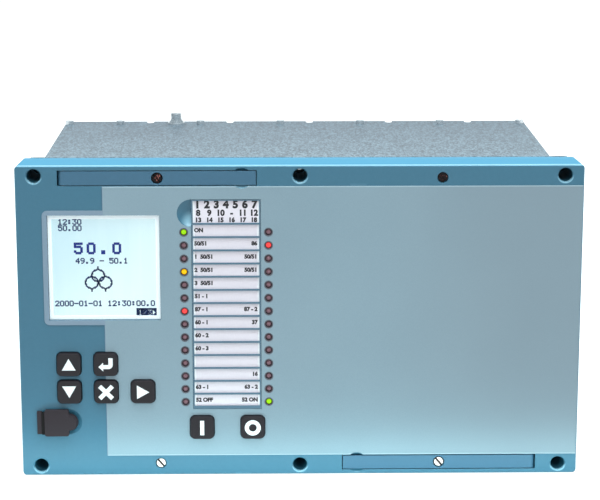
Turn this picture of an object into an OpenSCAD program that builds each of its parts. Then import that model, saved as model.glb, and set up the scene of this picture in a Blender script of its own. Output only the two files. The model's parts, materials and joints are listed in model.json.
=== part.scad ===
// Flush-mounting protection relay in a half-rack steel case.
// X runs to the right seen from the front, Y runs from the front into the case and Z is up.
// The origin is the centre of the fixing pattern, on the plane that meets the panel.

/* [Front bezel] */
// Width of the moulded bezel
bezel_w = 311.5; // [306:0.5:325]
// Height of the moulded bezel
bezel_h = 177; // [173:0.5:186]
// Depth of the bezel in front of the case flange
bezel_d = 28.5; // [27:0.5:32]
// Radius of the bezel's four corners seen from the front
bezel_corner_r = 2.2; // [1.5:0.1:4]
// Radius of the bezel's front edge
bezel_edge_r = 0.8; // [0.4:0.1:1.2]
// Draft of each bezel side, front to rear
bezel_draft = 0.8; // [0.4:0.1:1]
// Thickness of the bezel's front wall
front_t = 3; // [2.8:0.1:3.2]
// Thickness of the bezel's side walls
bezel_wall = 2.5; // [2.2:0.1:2.8]
// Thickness of the silver film on the front
film_t = 0.3; // [0.2:0.05:0.5]
// Distance of the film's upper and lower edge from the bezel's edge
film_margin_z = 11.5; // [11.3:0.1:12]
// Distance of the film's left edge from the bezel's left edge
film_left = 47.6; // [44:0.1:48]

/* [Steel case] */
// Overhang of the bezel beyond the case at each side
case_inset_x = 5.75; // [5.5:0.05:6.5]
// Overhang of the bezel beyond the case above and below
case_inset_z = 11.25; // [11:0.05:12]
// Depth of the case behind the panel
case_d = 185; // [180:1:220]
// Thickness of the case's sheet steel
sheet_t = 1.2; // [1:0.1:1.4]
// Outer radius of the case's bends
case_bend_r = 2; // [1.8:0.1:3]
// Distance of the flange's outer edge from the bezel's edge
flange_inset = 0.6; // [0.4:0.1:1]
// Distance of the case screws from the case's rear edge
case_screw_back = 10; // [9:0.5:12]
// Width of the notches in the case's rear edge
notch_w = 4.5; // [3.5:0.1:6]
// Length of the notches in the case's rear edge
notch_l = 6; // [5:0.1:7]

/* [Fixings] */
// Distance of the panel fixings from the bezel's side edge
fixing_edge_x = 10.45; // [10:0.05:12]
// Distance of the panel fixings from the bezel's top and bottom edge
fixing_edge_z = 5.7; // [5.6:0.1:6.2]
// Radius of the fixing hole in the flange
fixing_hole_r = 2.2; // [1.8:0.1:2.4]
// Radius of the access tunnel through the bezel
fixing_tunnel_r = 3.9; // [3.5:0.1:4]
// Width of the chamfer round the tunnel's mouth
fixing_rim = 0.5; // [0.3:0.1:0.6]
// Width of the locating notch in the middle of each flange
flange_notch_w = 7; // [4:0.5:9]
// Distance of the securing screws from the bezel's side edge
screw_edge_x = 77.65; // [76:0.05:80]
// Distance of the securing screws from the bezel's top and bottom edge
screw_edge_z = 6.9; // [6.8:0.1:7.1]
// Radius of the securing screw's thread
screw_r = 2; // [1.8:0.1:2.1]
// Radius of the securing screw's head
screw_head_r = 2.5; // [2.4:0.1:2.6]
// Gap round a securing screw's head in the bezel
screw_recess = 0.5; // [0.25:0.05:0.6]
// Width of a securing screw's slot
screw_slot = 1.1; // [0.8:0.1:1.3]
// Thickness of the securing screw's head
screw_head_t = 2.4; // [2:0.1:2.6]

/* [Handles] */
// Length of a withdrawal handle
handle_l = 108.1; // [96:0.1:112]
// Height of a withdrawal handle
handle_h = 7.8; // [7.2:0.1:8]
// Thickness of a withdrawal handle
handle_t = 5.5; // [5:0.1:5.8]
// Gap round a withdrawal handle
handle_gap = 0.4; // [0.3:0.05:0.5]
// Radius of the handle's pivot pin
handle_pin_r = 1; // [0.8:0.1:1.3]
// Radius of the finger dish at the handle's free end
dish_r = 5.8; // [5:0.1:5.9]
// Depth of the finger dish
dish_depth = 3.2; // [2.6:0.1:4.6]
// Distance of the finger dish's middle from the handle's free end
dish_back = 7.9; // [7:0.1:12]

/* [Display] */
// Distance of the display's middle from the bezel's left edge
display_left = 47.9; // [47:0.1:49]
// Distance of the display window from the bezel's top edge
display_top = 27.6; // [27:0.1:32]
// Distance of the display window from the bezel's bottom edge
display_foot = 90.2; // [88:0.1:92]
// Width of the display window
display_w = 61.4; // [58:0.1:63]
// Width of the white border round the picture area
display_border = 2.2; // [1.6:0.1:3]
// Thickness of the clear window
window_t = 1.5; // [1.2:0.1:1.8]
// Width of the silver frame round the display
surround = 2.8; // [2:0.1:3]
// Corner radius of the silver frame
surround_r = 3; // [2:0.1:4]

/* [Keys] */
// Width and height of a key
key_size = 13.4; // [12.4:0.1:13.6]
// Corner radius of a key
key_r = 2.8; // [2:0.1:3.5]
// Gap round a key
key_gap = 0.3; // [0.25:0.05:0.4]
// Height of a key above the front
key_proud = 1.9; // [1.6:0.1:2.4]
// Travel of a key
key_travel = 1; // [0.6:0.1:1.2]
// Distance of the first key column from the bezel's left edge
key_left = 27.3; // [27:0.1:28]
// Distance between key columns
key_pitch_x = 20.45; // [19:0.05:21]
// Height of the upper key row above the bezel's bottom edge
key_foot = 65; // [64.5:0.1:66]
// Distance between key rows
key_pitch_z = 15.9; // [15.5:0.1:16.2]
// Height of the two switching keys above the bezel's bottom edge
switching_foot = 28.1; // [27.6:0.1:28.6]
// Distance of the closing key from the bezel's left edge
closing_left = 101; // [100:0.1:102]
// Distance of the opening key from the bezel's left edge
opening_left = 129.3; // [128.5:0.1:130]

/* [Lamps and legend] */
// Number of lamps in a column
led_rows = 14; // [10:1:15]
// Distance of the left lamps from the bezel's left edge
led_left = 91.9; // [91.5:0.1:92.5]
// Distance between the two lamp columns
led_columns = 46.5; // [46.3:0.1:47.5]
// Radius of a lamp
led_r = 1.7; // [1.3:0.05:1.8]
// Radius of the window round a lamp
led_window_r = 2.25; // [2.2:0.05:2.4]
// Width of the black lamp holders
holder_w = 5; // [4.8:0.1:5.2]
// Width of the legend
legend_w = 38.2; // [34:0.1:38.5]
// Distance of the legend from the bezel's top edge
legend_top = 18.7; // [17:0.1:20]
// Distance of the legend from the bezel's bottom edge
legend_foot = 38.55; // [37.5:0.05:42]
// Height of the legend's header field
legend_header = 13.75; // [12:0.05:15]
// Height of a legend row's middle above its lamp
legend_row_shift = 0.9; // [0:0.1:1.2]
// Width of the bars between legend rows
legend_bar = 0.9; // [0.6:0.1:1.2]
// Depth of the legend's pocket
legend_depth = 0.9; // [0.8:0.05:1.4]
// Thickness of the legend card
card_paper_t = 0.4; // [0.3:0.05:0.5]
// Radius of the thumb dish beside the legend
thumb_r = 7.8; // [6:0.1:8.2]
// Depth of the thumb dish beside the legend
thumb_depth = 2.4; // [1.4:0.1:2.4]

/* [Service port] */
// Distance of the port's middle from the bezel's left edge
port_left = 19.9; // [19.8:0.1:20.4]
// Height of the port's middle above the bezel's bottom edge
port_foot = 31.3; // [30.9:0.1:31.5]
// Width of the port's hole in the bezel
port_w = 13; // [12.8:0.1:13.2]
// Height of the port's hole in the bezel
port_h = 12; // [11.8:0.1:12.2]
// Thickness of the rubber cover
cover_t = 2.8; // [2.4:0.1:3.2]
// Length of the rubber cover without its nose
cover_l = 13.6; // [13.6:0.1:14]
// Height of the rubber cover
cover_h = 15.1; // [14.6:0.1:15.4]
// Radius of the rubber cover's corners
cover_r = 1.2; // [0.8:0.1:2]
// Radius of the cover's pull nose
nose_r = 5.1; // [4:0.1:5.4]
// Distance by which the nose narrows towards its front
nose_draft = 0.9; // [0.5:0.1:1.2]
// Radius of the finger dish round the nose
nose_dish_r = 7.2; // [6.4:0.1:7.4]

/* [Withdrawable unit] */
// Thickness of the circuit boards
board_t = 1.6; // [1.4:0.1:2]
// Distance of the front board from the panel plane
front_board_y = 14; // [13:0.5:15]
// Thickness of the unit's sheet parts
chassis_t = 1.2; // [1:0.1:1.5]
// Distance of the unit's front plate from the case flange
front_plate_gap = 3.8; // [3:0.1:5]
// Clearance of the unit's side plates in their runners
runner_clearance = 0.2; // [0.15:0.05:0.3]
// Gap between the unit's plugs and the terminal blocks
plug_gap = 0.3; // [0.2:0.05:0.5]
// Height of the bars that tie the unit's side plates
tie_h = 4.4; // [3.6:0.1:8]
// Width of the front board
board_w = 134; // [130:0.5:136]
// Distance of the front board from the bezel's top and bottom edge
board_margin_z = 17.5; // [16.5:0.5:18.5]
// Distance of the unit's front plate from the bezel's top and bottom edge
plate_margin_z = 15.5; // [15:0.5:17]

/* [Rear terminals] */
// Width of the narrow module beside the five wide ones
narrow_w = 33; // [30:0.5:36]
// Distance of the first module's edge from the case's side
module_edge = 4.5; // [4:0.1:5]
// Thickness of the rear plate
rear_t = 1.5; // [1.2:0.1:2]
// Rows of terminals in a block
terminal_rows = 14; // [10:1:14]
// Distance of the terminal blocks from the case's inner top and bottom
block_margin_z = 3.05; // [2.5:0.05:4]
// Height of a terminal block's end beyond its last barrier
block_end = 5; // [4.9:0.1:6]
// Depth of a terminal block behind the rear plate
block_d = 18; // [15:0.5:22]
// Height of the barriers between terminals
barrier_h = 3.8; // [3:0.1:3.9]
// Thickness of the barriers between terminals
barrier_t = 1.6; // [1:0.1:2]

/* [Hidden] */
$fn = 48;

// Planes along Y
flange_y = -sheet_t;
front_y = flange_y - bezel_d;
face_y = front_y - film_t;
wall_y = front_y + front_t;
board_y = -front_board_y;
plate_y = flange_y - front_plate_gap;
// Edges of the bezel and the case
left_x = -bezel_w / 2;
bottom_z = -bezel_h / 2;
case_w = bezel_w - 2 * case_inset_x;
case_h = bezel_h - 2 * case_inset_z;
inner_w = case_w - 2 * sheet_t;
inner_h = case_h - 2 * sheet_t;
flange_top = bezel_h / 2 - flange_inset;
// Fixings
fixing_x = bezel_w / 2 - fixing_edge_x;
fixing_z = bezel_h / 2 - fixing_edge_z;
screw_x = bezel_w / 2 - screw_edge_x;
screw_z = bezel_h / 2 - screw_edge_z;
screw_fit = 0.12;
screw_sink = 0.4;
head_y = front_y + screw_sink;
bush_l = 6;
bush_r = 3.6;
screw_end = flange_y - 1;
boss_end = flange_y - bush_l - 0.3;
plate_boss_r = 3.4;
board_boss_r = 2.8;
// Handles
pocket_w = handle_l + 2 * handle_gap;
pocket_h = handle_h + 2 * handle_gap;
pocket_d = handle_t + 0.5;
pocket_back = front_y + pocket_d + 1.5;
pivot_in = handle_t / 2;
pivot_x = screw_x + handle_l / 2 - pivot_in;
pivot_y = front_y + pivot_in;
pin_fit = 0.06;
stud_r = screw_head_r + 0.1;
stud_top = head_y + screw_head_t;
// Places on the front
display_h = bezel_h - display_top - display_foot;
display_z = bottom_z + display_foot + display_h / 2;
display_x = left_x + display_left;
key_x = left_x + key_left;
led_x = [left_x + led_left, left_x + led_left + led_columns];
legend_x = (led_x[0] + led_x[1]) / 2;
closing_x = left_x + closing_left;
opening_x = left_x + opening_left;
port_x = left_x + port_left;
key_top_z = bottom_z + key_foot;
switching_z = bottom_z + switching_foot;
port_z = bottom_z + port_foot;
// Legend and lamps
legend_edge = 1.4;
legend_top_z = bezel_h / 2 - legend_top;
legend_h = bezel_h - legend_top - legend_foot;
legend_z = legend_top_z - legend_h / 2;
bar_z0 = legend_top_z - legend_header;
led_pitch = (legend_h - legend_header - legend_edge) / led_rows;
led_top_z = bar_z0 - led_pitch / 2 - legend_row_shift;
// Keys
key_hole = key_size + 2 * key_gap;
key_lip = key_size + 1.8;
key_lip_t = 1;
key_seat = 0.1;
switch_h = 3.4;
// Port cover
cover_gap = 0.1;
hinge_r = 0.8;
hinge_x = port_x - cover_l / 2 - 0.7;
hinge_y = front_y - 1.9;
anchor_w = 2.6;
anchor_t = 1.6;
anchor_h = cover_h - 2;
plug_ring_t = 1.2;
// Unit
runner_w = 6;
runner_h = 5;
runner_grip = 2.2;
side_x = inner_w / 2 - runner_w / 2;
side_h = inner_h - 2 * (runner_h - runner_grip) - 2 * runner_clearance;
tie_gap = 0.2;
tie_z = inner_h / 2 - runner_h - tie_gap - tie_h / 2;
card_h = 2 * (tie_z - tie_h / 2 - tie_gap);
plug_d = 12;
socket_d = 7;
unit_back = case_d - rear_t - socket_d - plug_gap;
card_front = plate_y + chassis_t;
card_back = unit_back - plug_d;
side_back = card_back - 4;
// Modules, counted from the right seen from the front
narrow_left = -case_w / 2 + module_edge - 1;
narrow_right = narrow_left + narrow_w;
module_pitch = (case_w / 2 - module_edge - narrow_right) / 5;
module_x = [for (k = [0:4]) case_w / 2 - module_edge - (k + 0.5) * module_pitch];
narrow_x = (narrow_left + narrow_right) / 2;
case_screw_x = concat([narrow_left], [for (k = [0:5]) case_w / 2 - module_edge - k * module_pitch]);
case_screw_y = case_d - case_screw_back;
earth_shift = 36.2;
earth_x = narrow_right + earth_shift;
notch_shift = 19;
block_flange_t = 3;
block_h = inner_h - 2 * block_margin_z;
terminal_pitch = (block_h - 2 * block_end - barrier_t) / terminal_rows;
socket_w = module_pitch - 11.8;
socket_h = block_h - 12;
terminal_column = 12.2;
block_screw_z = block_h / 2 - block_end / 2 - 0.1;
block_screw_head_r = 2.2;
port_body = [16, 14, 15];
port_back = case_d + 2;
port_mouth = [11.8, 7.4, 11];
port_rows = [52, 30];
serial_z = -8;
serial_ways = 6;
serial_pitch = 5.08;

// Extrudes a front view (x, z) between two planes along Y
module slab(y0, y1) {
    translate([0, y1, 0]) rotate([90, 0, 0]) linear_extrude(y1 - y0) children();
}

// Box of a width and height about a place on the front, between two planes
module block(x, z, w, h, y0, y1) {
    translate([x - w / 2, y0, z - h / 2]) cube([w, y1 - y0, h]);
}

// Round bar along Y
module post(x, z, r, y0, y1) {
    translate([x, y1, z]) rotate([90, 0, 0]) cylinder(r = r, h = y1 - y0);
}

// Rectangle with round corners
module round_rect(w, h, r) {
    square([w - 2 * r, h], center = true);
    square([w, h - 2 * r], center = true);
    for (sx = [-1, 1], sz = [-1, 1])
        translate([sx * (w / 2 - r), sz * (h / 2 - r)]) circle(r);
}

// Children at the middle of each securing screw
module at_screws() {
    for (sx = [-1, 1], sz = [-1, 1]) translate([sx * screw_x, sz * screw_z]) children();
}

// Children at each of the six panel fixings
module at_fixings() {
    for (sx = [-1, 0, 1], sz = [-1, 1]) translate([sx * fixing_x, sz * fixing_z]) children();
}

// Children at the upper left handle and, turned half round, at the lower right one
module at_handles() {
    for (turn = [0, 180]) rotate(turn) translate([-screw_x, screw_z]) children();
}

// Column and row of the five menu keys
key_places = [
    [key_x, key_top_z], [key_x, key_top_z - key_pitch_z], [key_x + key_pitch_x, key_top_z],
    [key_x + key_pitch_x, key_top_z - key_pitch_z], [key_x + 2 * key_pitch_x, key_top_z - key_pitch_z],
    [closing_x, switching_z], [opening_x, switching_z]
];
plate_boss_in = 7.2;
plate_boss_x = bezel_w / 2 - plate_boss_in;
plate_boss_z = bezel_h / 4;
plate_boss_places = [for (sx = [-1, 1], sz = [-1, 1]) [sx * plate_boss_x, sz * plate_boss_z]];
board_h = bezel_h - 2 * board_margin_z;
board_x = left_x + plate_boss_in + plate_boss_r + 0.5 + board_w / 2;
board_boss_x = board_w / 2 - 3.5;
board_boss_z = board_h / 2 - 4;
board_boss_places = [for (sx = [-1, 1], sz = [-1, 1]) [board_x + sx * board_boss_x, sz * board_boss_z]];

// Steel case

module flange() {
    for (sz = [-1, 1])
        slab(flange_y, 0) difference() {
            translate([0, sz * (case_h / 2 - sheet_t + flange_top) / 2])
                square([case_w, flange_top - case_h / 2 + sheet_t], center = true);
            at_fixings() circle(fixing_hole_r);
            at_screws() circle(screw_r + screw_fit);
            translate([0, sz * flange_top]) square([flange_notch_w, 2.6], center = true);
        }
}

module case_shell() {
    color("lightsteelblue") {
        difference() {
            slab(flange_y, case_d) difference() {
                round_rect(case_w, case_h, case_bend_r);
                round_rect(inner_w, inner_h, case_bend_r - sheet_t);
            }
            // Notches in the rear edge of the top and bottom sheets
            for (k = [2:6], sz = [-1, 1])
                translate([case_screw_x[k] + notch_shift, 0, sz * case_h / 2]) {
                    translate([-notch_w / 2, case_d - notch_l + notch_w / 2, -2 * sheet_t])
                        cube([notch_w, notch_l, 4 * sheet_t]);
                    translate([0, case_d - notch_l + notch_w / 2, 0])
                        cylinder(r = notch_w / 2, h = 4 * sheet_t, center = true);
                }
            for (x = case_screw_x, sz = [-1, 1])
                translate([x, case_screw_y, sz * case_h / 2])
                    cylinder(r = 1.6, h = 4 * sheet_t, center = true);
            translate([earth_x, case_screw_y, case_h / 2])
                cylinder(r = 2.1, h = 4 * sheet_t, center = true);
        }
        flange();
    }
}

// Plate that closes the rear
rear_fit = 0.1;
tab_d = 16;
rear_w = inner_w - 2 * rear_fit;
rear_h = inner_h - 2 * rear_fit;
module rear_plate() {
    color("silver") difference() {
        slab(case_d - rear_t, case_d) round_rect(rear_w, rear_h, 1);
        for (x = module_x) block(x, 0, socket_w + 0.6, socket_h + 0.6, case_d - rear_t - 1, case_d + 1);
        for (z = port_rows)
            block(narrow_x, z, port_body[0] + 0.2, port_body[1] + 0.2, case_d - rear_t - 1, case_d + 1);
        block(narrow_x, serial_z, 12.4, serial_ways * serial_pitch + 4.4, case_d - rear_t - 1, case_d + 1);
        for (x = module_x, sz = [-1, 1])
            post(x, sz * block_screw_z, 1.35, case_d - rear_t - 1, case_d + 1);
    }
}

// Edges of the rear plate, folded forwards for the case screws
module rear_folds() {
    color("silver") difference() {
        for (sz = [-1, 1])
            block(0, sz * (rear_h - rear_t) / 2, rear_w - 2, rear_t, case_d - tab_d, case_d - rear_t);
        for (x = case_screw_x, sz = [-1, 1])
            translate([x, case_screw_y, sz * rear_h / 2]) cylinder(r = 1.35, h = 4 * rear_t, center = true);
        translate([earth_x, case_screw_y, rear_h / 2]) cylinder(r = 2.1, h = 4 * rear_t, center = true);
    }
}

// Slotted screw standing on Z = 0 with its thread below
module slotted_screw(head_r, head_h, thread_r, thread_l, slot) {
    difference() {
        union() {
            cylinder(r = head_r, h = head_h);
            translate([0, 0, -thread_l]) cylinder(r = thread_r, h = thread_l + 0.1);
        }
        translate([0, 0, head_h]) cube([3 * head_r, slot, head_h], center = true);
    }
}

module case_screws() {
    color("whitesmoke")
        for (x = case_screw_x, flip = [0, 1])
            mirror([0, 0, flip]) translate([x, case_screw_y, case_h / 2])
                slotted_screw(2.5, 2.2, 1.25, 4, 0.8);
}

earth_stack = 3.2;
module earth_washers() {
    color("gainsboro") translate([earth_x, case_screw_y, case_h / 2]) {
        difference() {
            cylinder(r = 5.5, h = 1.2);
            translate([0, 0, -1]) cylinder(r = 2.1, h = 4);
        }
        translate([0, 0, 1.25]) difference() {
            cylinder(r = 4.4, h = 0.9);
            translate([0, 0, -1]) cylinder(r = 2.1, h = 4);
        }
        translate([0, 0, 2.2]) difference() {
            cylinder(r = 3.7, h = 0.95);
            translate([0, 0, -1]) cylinder(r = 2.1, h = 4);
        }
    }
}

module earth_screw() {
    color("whitesmoke") translate([earth_x, case_screw_y, case_h / 2 + earth_stack]) rotate(35)
        slotted_screw(3.4, 3.8, 2, earth_stack + 5, 1.1);
}

// Threaded bushes on the flange that the unit's four securing screws enter
module screw_bushes() {
    color("silver") slab(flange_y - bush_l, flange_y) at_screws() difference() {
        circle(bush_r);
        circle(screw_r + screw_fit);
    }
}

// Channels in the case's corners that the unit's side plates run in
module unit_runners() {
    color("dimgray")
        for (sx = [-1, 1], sz = [-1, 1])
            slab(3, case_d - tab_d - 4) difference() {
                translate([sx * side_x, sz * (inner_h - runner_h) / 2])
                    square([runner_w, runner_h], center = true);
                translate([sx * side_x, sz * (inner_h / 2 - runner_h)])
                    square([chassis_t + 2 * runner_clearance, 2 * runner_grip], center = true);
                translate([sx * inner_w / 2, sz * inner_h / 2]) circle(case_bend_r - sheet_t + 0.3);
            }
}

// Rear terminals

function terminal_z(i) = (i - (terminal_rows - 1) / 2) * terminal_pitch;
module terminal_block(n) {
    x = module_x[n];
    top_y = case_d + block_d - barrier_h;
    body_h = terminal_rows * terminal_pitch + barrier_t;
    color("darkslategray") difference() {
        union() {
            block(x, 0, module_pitch - 1, block_h, case_d, case_d + block_flange_t);
            block(x, 0, socket_w, socket_h, case_d - rear_t - socket_d, case_d + 0.5);
            block(x, 0, module_pitch - 3, body_h, case_d + 1, top_y);
            block(x, 0, 3, body_h, case_d + 1, case_d + block_d);
            for (i = [0:terminal_rows])
                block(x, (i - terminal_rows / 2) * terminal_pitch, module_pitch - 3, barrier_t,
                      case_d + 1, case_d + block_d);
        }
        for (sz = [-1, 1]) post(x, sz * block_screw_z, 1.5, case_d - 1, case_d + block_flange_t + 1);
        for (sx = [-1, 1], i = [0:terminal_rows - 1])
            post(x + sx * terminal_column, terminal_z(i), 1.9, top_y - 8, top_y + 1);
    }
}

// Head towards the rear, thread towards the front
module rear_screw(x, z, y, head_r, head_h, thread_r, thread_l, turn) {
    translate([x, y, z]) rotate([-90, 0, 0]) rotate(turn)
        slotted_screw(head_r, head_h, thread_r, thread_l, 0.9);
}

module terminal_screws() {
    top_y = case_d + block_d - barrier_h;
    color("gainsboro")
        for (x = module_x, sx = [-1, 1], i = [0:terminal_rows - 1])
            rear_screw(x + sx * terminal_column, terminal_z(i), top_y, 3.6, 2.4, 1.8, 6, 20 + 55 * i);
}

module block_screws() {
    color("gainsboro")
        for (x = module_x, sz = [-1, 1])
            rear_screw(x, sz * block_screw_z, case_d + block_flange_t, block_screw_head_r, 1.8, 1.25, 6, 30);
}

// Data socket with its mouth to the rear and a latch notch above
module network_port(n) {
    z = port_rows[n];
    color("gainsboro") difference() {
        block(narrow_x, z, port_body[0], port_body[1], port_back - port_body[2], port_back);
        block(narrow_x, z - 1, port_mouth[0], port_mouth[1], port_back - port_mouth[2], port_back + 1);
        block(narrow_x, z + 3.6, 5, 3, port_back - port_mouth[2], port_back + 1);
    }
}

// Plug with one clamp screw and one wire hole for each way
module serial_plug() {
    h = serial_ways * serial_pitch + 4;
    color("seagreen") difference() {
        block(narrow_x, serial_z, 12, h, case_d - 6, case_d + 9);
        for (i = [0:serial_ways - 1]) {
            z = serial_z + (i - (serial_ways - 1) / 2) * serial_pitch;
            post(narrow_x + 2.2, z, 1.5, case_d + 2, case_d + 10);
            post(narrow_x - 3.4, z, 1.3, case_d + 5, case_d + 10);
        }
    }
}

// Front moulding

module bezel_body() {
    e = bezel_edge_r;
    steps = [[0, 1], [0.13, 0.5], [0.5, 0.13], [1, 0]];
    hull($fn = 32) {
        for (s = steps)
            slab(front_y + e * s[0], front_y + e * s[0] + 0.01)
                round_rect(bezel_w - 2 * e * s[1], bezel_h - 2 * e * s[1], bezel_corner_r - e * s[1]);
        slab(flange_y - 0.01, flange_y)
            round_rect(bezel_w - 2 * bezel_draft, bezel_h - 2 * bezel_draft, bezel_corner_r);
    }
}

// Front views of what stays solid inside the bezel's hollow
module tunnel_views() {
    at_fixings() circle(fixing_tunnel_r + 1.4);
}

module screw_boss_views() {
    at_screws() circle(bush_r + 0.6);
}

module plate_boss_views() {
    for (p = plate_boss_places) translate(p) circle(plate_boss_r);
}

module board_boss_views() {
    for (p = board_boss_places) translate(p) circle(board_boss_r);
}

module pocket_views() {
    at_handles() square([pocket_w + 3, pocket_h + 3], center = true);
}

bezel_skin = bezel_draft + bezel_wall - 0.5;
module hollow(y0, y1) {
    slab(y0, y1) difference() {
        round_rect(bezel_w - 2 * bezel_skin, bezel_h - 2 * bezel_skin, 1);
        children();
    }
}

// Dish of a rim radius and depth, sunk into the plane y
module dish(x, z, rim_r, depth, y) {
    ball_r = (rim_r * rim_r + depth * depth) / (2 * depth);
    translate([x, y - (ball_r - depth), z]) sphere(ball_r, $fn = 64);
}

module handle_dishes() {
    for (s = [-1, 1])
        dish(s * (screw_x - handle_l / 2 + dish_back), -s * screw_z, dish_r, dish_depth, front_y);
}

module key_views(size, r) {
    for (p = key_places) translate(p) round_rect(size, size, r);
}

holder_h = (led_rows - 1) * led_pitch + 5.2;
holder_z = led_top_z - (led_rows - 1) * led_pitch / 2;
module bezel() {
    color("steelblue") difference() {
        bezel_body();
        hollow(wall_y, pocket_back) {
            tunnel_views();
            screw_boss_views();
            plate_boss_views();
            board_boss_views();
            pocket_views();
        }
        hollow(pocket_back - 0.01, board_y) {
            tunnel_views();
            screw_boss_views();
            plate_boss_views();
            board_boss_views();
        }
        hollow(board_y - 0.01, boss_end) {
            tunnel_views();
            screw_boss_views();
            plate_boss_views();
        }
        hollow(boss_end - 0.01, plate_y) {
            tunnel_views();
            plate_boss_views();
        }
        hollow(plate_y - 0.01, flange_y + 1) tunnel_views();
        slab(front_y - 1, flange_y + 1) at_fixings() circle(fixing_tunnel_r);
        for (sx = [-1, 0, 1], sz = [-1, 1])
            translate([sx * fixing_x, front_y + fixing_rim, sz * fixing_z]) rotate([90, 0, 0])
                cylinder(r1 = fixing_tunnel_r, r2 = fixing_tunnel_r + 2 * fixing_rim, h = 2 * fixing_rim);
        slab(head_y + screw_head_t, flange_y + 1) at_screws() circle(screw_r + screw_fit);
        slab(front_y - 1, head_y + screw_head_t) at_screws() circle(screw_head_r + screw_recess);
        // Handle pockets, each with the stud that its securing screw sits on
        slab(front_y - 1, front_y + pocket_d) at_handles() difference() {
            square([pocket_w, pocket_h], center = true);
            circle(stud_r);
        }
        for (turn = [0, 180])
            rotate([0, turn, 0]) translate([-pivot_x, pivot_y, screw_z])
                cylinder(r = handle_pin_r, h = pocket_h + 2, center = true);
        handle_dishes();
        slab(front_y - 1, wall_y + 1) {
            translate([display_x, display_z]) square([display_w + 0.2, display_h + 0.2], center = true);
            key_views(key_hole, key_r + key_gap);
            for (x = led_x)
                translate([x, holder_z]) square([holder_w + 0.2, holder_h + 0.2], center = true);
            translate([port_x, port_z]) square([port_w, port_h], center = true);
        }
        slab(front_y - 1, front_y + legend_depth)
            translate([legend_x, legend_z]) square([legend_w, legend_h], center = true);
        intersection() {
            dish(legend_x - legend_w / 2, legend_top_z - thumb_r, thumb_r, thumb_depth, front_y);
            block(legend_x - legend_w / 2 - thumb_r, legend_z, 2 * thumb_r, legend_h, front_y - 1, wall_y);
        }
        dish(port_x + cover_l / 2, port_z, nose_dish_r, 2.2, front_y);
    }
}

// Silver film with its cut-outs
module film_view() {
    top_z = bezel_h / 2 - film_margin_z;
    right_x = bezel_w / 2 - bezel_edge_r + 0.2;
    difference() {
        union() {
            translate([left_x + film_left, -top_z]) square([right_x - left_x - film_left, 2 * top_z]);
            translate([display_x, display_z])
                round_rect(display_w + 2 * surround, display_h + 2 * surround, surround_r);
        }
        translate([display_x, display_z]) square([display_w + 0.2, display_h + 0.2], center = true);
        key_views(key_hole, key_r + key_gap);
        for (x = led_x, i = [0:led_rows - 1])
            translate([x, led_top_z - i * led_pitch]) circle(led_window_r, $fn = 32);
        translate([legend_x, legend_z]) square([legend_w, legend_h], center = true);
        translate([legend_x - legend_w / 2, legend_top_z - thumb_r]) circle(thumb_r);
        for (s = [-1, 1])
            translate([s * (screw_x - handle_l / 2 + dish_back), -s * screw_z]) circle(dish_r);
    }
}

module front_film() {
    color("lightslategray") slab(face_y, front_y) film_view();
}

// Display

module display_window() {
    color("azure", 0.4)
        block(display_x, display_z, display_w, display_h, face_y + 0.1, face_y + 0.1 + window_t);
}

border_y = face_y + 0.1 + window_t + 0.1;
display_back = wall_y + 3;
module display_border_frame() {
    color("white") slab(border_y, display_back) translate([display_x, display_z]) difference() {
        square([display_w - 0.2, display_h - 0.2], center = true);
        square([display_w - 2 * display_border, display_h - 2 * display_border], center = true);
    }
}

glass_w = display_w - 2 * display_border - 0.1;
glass_h = display_h - 2 * display_border - 0.1;
module display_glass() {
    color("lightcyan")
        block(display_x, display_z, glass_w, glass_h, border_y + 0.3, display_back - 0.5);
}

module display_module() {
    color("dimgray") {
        block(display_x, display_z, display_w + 4, display_h + 4, display_back, board_y - 1.5);
        for (sx = [-1, 1], sz = [-1, 1])
            post(display_x + sx * display_w / 2.4, display_z + sz * display_h / 2.4, 1.5,
                 board_y - 2, board_y);
    }
}

// Legend

module legend_card() {
    back = front_y + legend_depth;
    color("white") block(legend_x, legend_z, legend_w - 0.3, legend_h - 0.3, back - card_paper_t, back);
}

module legend_frame() {
    back = front_y + legend_depth - card_paper_t - 0.05;
    w = legend_w - 0.4;
    h = legend_h - 0.4;
    color("slategray") slab(face_y, back) difference() {
        translate([legend_x, legend_z]) square([w, h], center = true);
        for (i = [0:led_rows - 1])
            translate([legend_x, bar_z0 - (i + 0.5) * led_pitch])
                square([w - 2 * 0.7, led_pitch - legend_bar], center = true);
        translate([legend_x - w / 2 + 0.7, bar_z0 + legend_bar / 2])
            square([w - 2 * 0.7, legend_z + h / 2 - 0.6 - bar_z0 - legend_bar / 2]);
    }
}

// Lamps

module lamp_holders() {
    color("black")
        for (x = led_x)
            slab(front_y + 0.3, board_y) difference() {
                translate([x, holder_z]) square([holder_w, holder_h], center = true);
                for (i = [0:led_rows - 1])
                    translate([x, led_top_z - i * led_pitch]) circle(led_r + 0.08, $fn = 32);
            }
}

// Light guide with a domed tip
module lamp(column, row) {
    dome_r = 2.2;
    tip_y = face_y + 0.2;
    x = led_x[column];
    z = led_top_z - row * led_pitch;
    intersection() {
        post(x, z, led_r, tip_y - 1, board_y - 1, $fn = 32);
        union() {
            translate([x, tip_y + dome_r, z]) sphere(dome_r, $fn = 32);
            block(x, z, 3 * led_r, 3 * led_r, tip_y + dome_r, board_y);
        }
    }
}

green_lamps = [[0, 0], [1, led_rows - 1]];
amber_lamps = [[0, 3]];
red_lamps = [[1, 1], [0, 6]];
lit_lamps = concat(green_lamps, amber_lamps, red_lamps);

module lamps_off() {
    color("dimgray")
        for (column = [0, 1], row = [0:led_rows - 1])
            if (len([for (p = lit_lamps) if (p == [column, row]) p]) == 0) lamp(column, row);
}

module lamps_green() {
    color("greenyellow") for (p = green_lamps) lamp(p[0], p[1]);
}

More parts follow.
